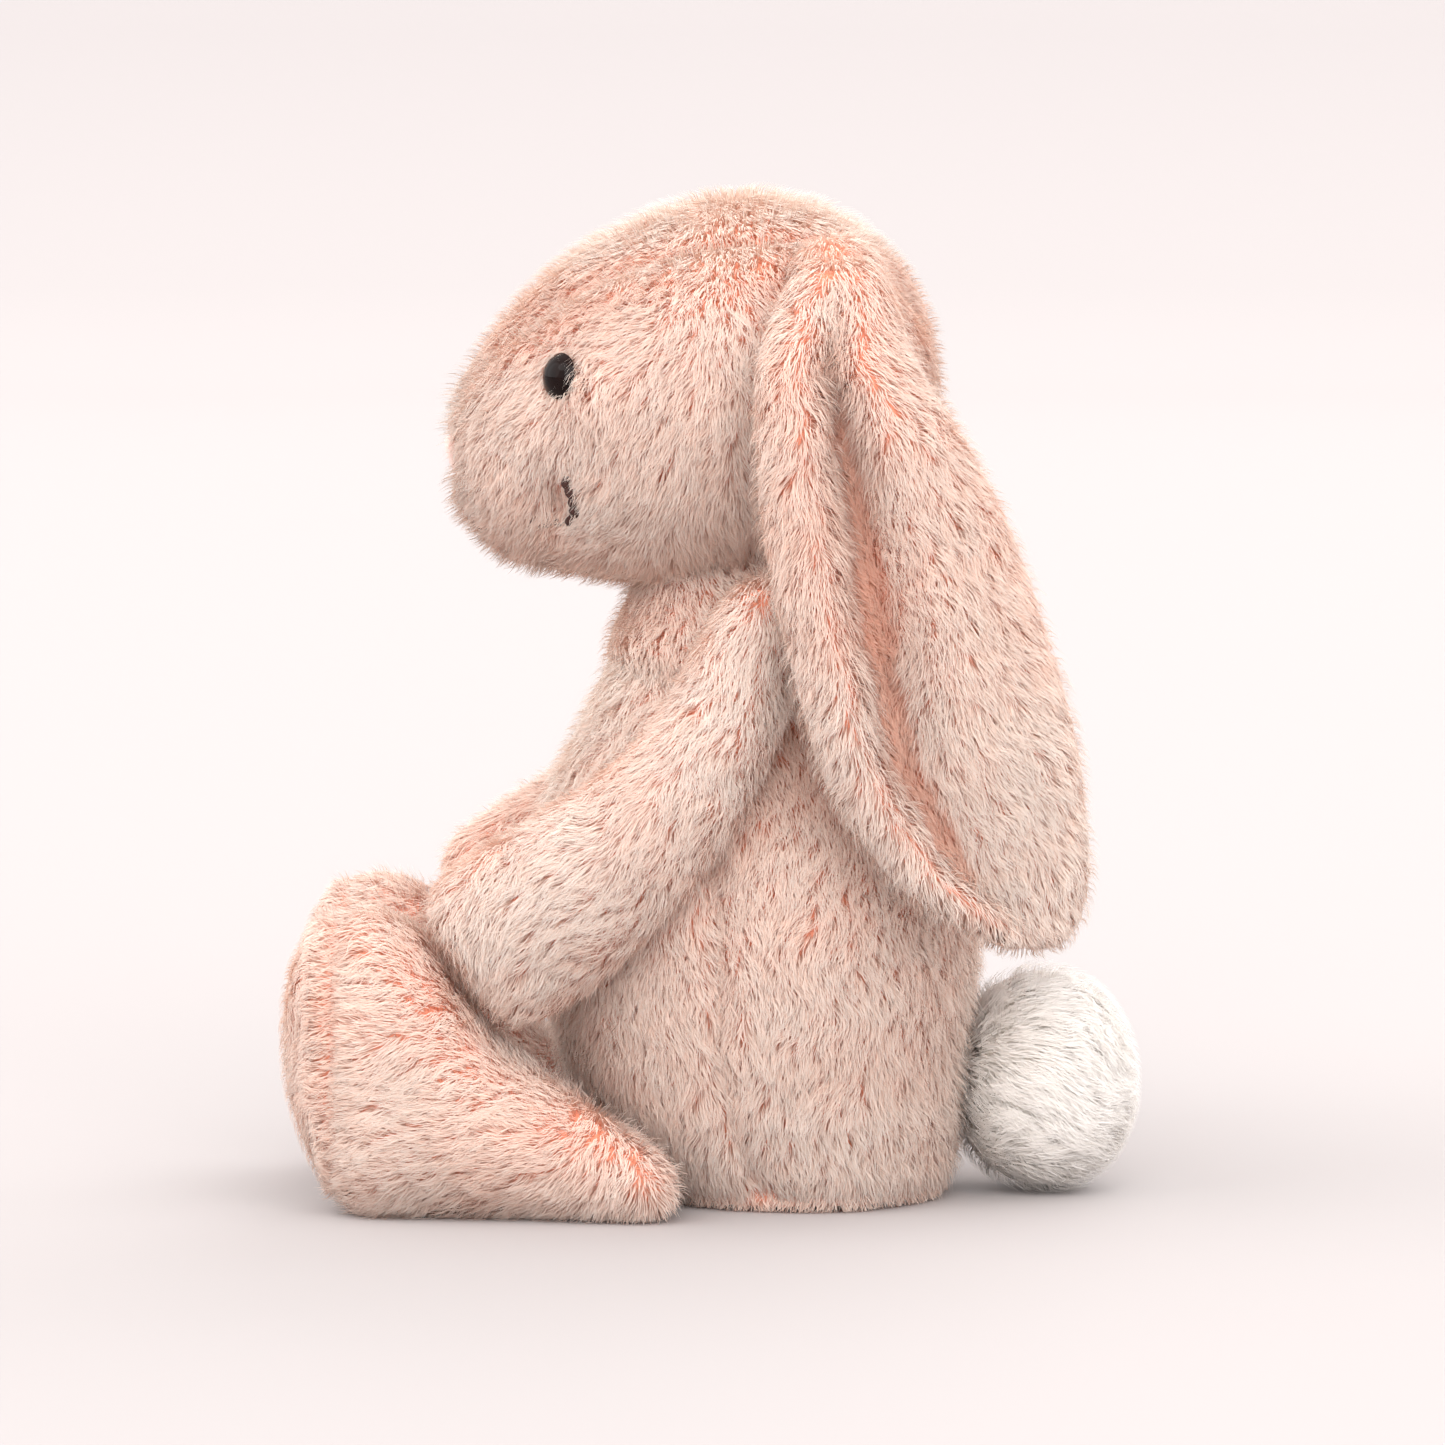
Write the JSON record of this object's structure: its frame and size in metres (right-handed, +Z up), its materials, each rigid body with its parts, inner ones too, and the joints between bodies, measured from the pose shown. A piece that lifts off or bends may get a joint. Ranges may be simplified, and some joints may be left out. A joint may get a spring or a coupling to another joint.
{
  "type": "plush rabbit",
  "caption": "Seated lop-eared plush rabbit toy with sewn-on head, ears, arms, legs and a round tail; sits by itself on a flat surface.",
  "frame": {"origin": "middle of the flat seat, on the surface the toy sits on", "axes": "+Z up; the toy faces -Y; its left side is +X"},
  "size_m": [0.1212, 0.1629, 0.1969],
  "materials": {
    "blush_fur": "matte",
    "ear_lining_fur": "matte",
    "white_fur": "matte",
    "nose_fabric": "matte",
    "brown_thread": "satin",
    "seam_thread": "matte",
    "eye_gloss": "gloss",
    "washer_plastic": "matte",
    "fibre_filling": "matte",
    "pouch_cloth": "matte",
    "bean_plastic": "satin"
  },
  "bodies": {
    "torso": {"torso_front": "blush_fur", "torso_back_left": "blush_fur", "torso_back_right": "blush_fur", "torso_base": "blush_fur", "torso_filling": "fibre_filling", "bean_pouch": "pouch_cloth", "beans": "bean_plastic", "tail_stitching": "seam_thread"},
    "neck": {"neck_stitching": "seam_thread"},
    "head": {"head_side_left": "blush_fur", "head_side_right": "blush_fur", "head_gusset": "blush_fur", "head_filling": "fibre_filling", "nose": "nose_fabric", "mouth_stitch": "brown_thread", "eye_left": "eye_gloss", "eye_right": "eye_gloss", "eye_washer_left": "washer_plastic", "eye_washer_right": "washer_plastic"},
    "ear_root_left": {"ear_stitching_left": "seam_thread"},
    "ear_left": {"ear_back_left": "blush_fur", "ear_lining_left": "ear_lining_fur"},
    "shoulder_left": {"shoulder_stitching_left": "seam_thread"},
    "arm_left": {"arm_outer_left": "blush_fur", "arm_inner_left": "blush_fur", "arm_filling_left": "fibre_filling"},
    "hip_left": {"hip_stitching_left": "seam_thread"},
    "leg_left": {"leg_outer_left": "blush_fur", "leg_inner_left": "blush_fur", "foot_sole_left": "blush_fur", "leg_filling_left": "fibre_filling"},
    "ear_root_right": {"ear_stitching_right": "seam_thread"},
    "ear_right": {"ear_back_right": "blush_fur", "ear_lining_right": "ear_lining_fur"},
    "shoulder_right": {"shoulder_stitching_right": "seam_thread"},
    "arm_right": {"arm_outer_right": "blush_fur", "arm_inner_right": "blush_fur", "arm_filling_right": "fibre_filling"},
    "hip_right": {"hip_stitching_right": "seam_thread"},
    "leg_right": {"leg_outer_right": "blush_fur", "leg_inner_right": "blush_fur", "foot_sole_right": "blush_fur", "leg_filling_right": "fibre_filling"},
    "tail": {"tail_cover": "white_fur", "tail_filling": "fibre_filling"}
  },
  "joints": [
    {"name": "neck_turn", "type": "hinge", "parent": "torso", "child": "neck", "pos_m": [0, -0.008, 0.1199], "axis": [0, 0, 1], "range_deg": [-12, 12], "stiffness_Nm_per_rad": 0.3},
    {"name": "head_nod", "type": "hinge", "parent": "neck", "child": "head", "pos_m": [0, -0.008, 0.1199], "axis": [1, 0, 0], "range_deg": [-10, 12], "stiffness_Nm_per_rad": 1},
    {"name": "ear_swing_left", "type": "hinge", "parent": "head", "child": "ear_root_left", "pos_m": [0.0306, 0.009, 0.186], "axis": [1, 0, 0], "range_deg": [0, 30]},
    {"name": "ear_lift_left", "type": "hinge", "parent": "ear_root_left", "child": "ear_left", "pos_m": [0.034, 0.009, 0.186], "axis": [0, -0.96, -0.28], "range_deg": [0, 110]},
    {"name": "arm_raise_left", "type": "hinge", "parent": "torso", "child": "shoulder_left", "pos_m": [0.024, -0.004, 0.118], "axis": [-1, 0, 0], "range_deg": [0, 50]},
    {"name": "arm_spread_left", "type": "hinge", "parent": "shoulder_left", "child": "arm_left", "pos_m": [0.034, -0.004, 0.118], "axis": [0, -0.7828, 0.6222], "range_deg": [0, 45]},
    {"name": "leg_swing_left", "type": "hinge", "parent": "torso", "child": "hip_left", "pos_m": [0.0284, -0.028, 0.009], "axis": [1, 0, 0], "range_deg": [0, 45]},
    {"name": "leg_spread_left", "type": "hinge", "parent": "hip_left", "child": "leg_left", "pos_m": [0.04, -0.028, 0.009], "axis": [0, 0, 1], "range_deg": [0, 25]},
    {"name": "ear_swing_right", "type": "hinge", "parent": "head", "child": "ear_root_right", "pos_m": [-0.0306, 0.009, 0.186], "axis": [1, 0, 0], "range_deg": [0, 30]},
    {"name": "ear_lift_right", "type": "hinge", "parent": "ear_root_right", "child": "ear_right", "pos_m": [-0.034, 0.009, 0.186], "axis": [0, 0.96, 0.28], "range_deg": [0, 110]},
    {"name": "arm_raise_right", "type": "hinge", "parent": "torso", "child": "shoulder_right", "pos_m": [-0.024, -0.004, 0.118], "axis": [-1, 0, 0], "range_deg": [0, 50]},
    {"name": "arm_spread_right", "type": "hinge", "parent": "shoulder_right", "child": "arm_right", "pos_m": [-0.034, -0.004, 0.118], "axis": [0, 0.7828, -0.6222], "range_deg": [0, 45]},
    {"name": "leg_swing_right", "type": "hinge", "parent": "torso", "child": "hip_right", "pos_m": [-0.0284, -0.028, 0.009], "axis": [1, 0, 0], "range_deg": [0, 45]},
    {"name": "leg_spread_right", "type": "hinge", "parent": "hip_right", "child": "leg_right", "pos_m": [-0.04, -0.028, 0.009], "axis": [0, 0, -1], "range_deg": [0, 25]},
    {"name": "tail_lift", "type": "hinge", "parent": "torso", "child": "tail", "pos_m": [0, 0.0338, 0.0224], "axis": [1, 0, 0], "range_deg": [0, 10]}
  ]
}
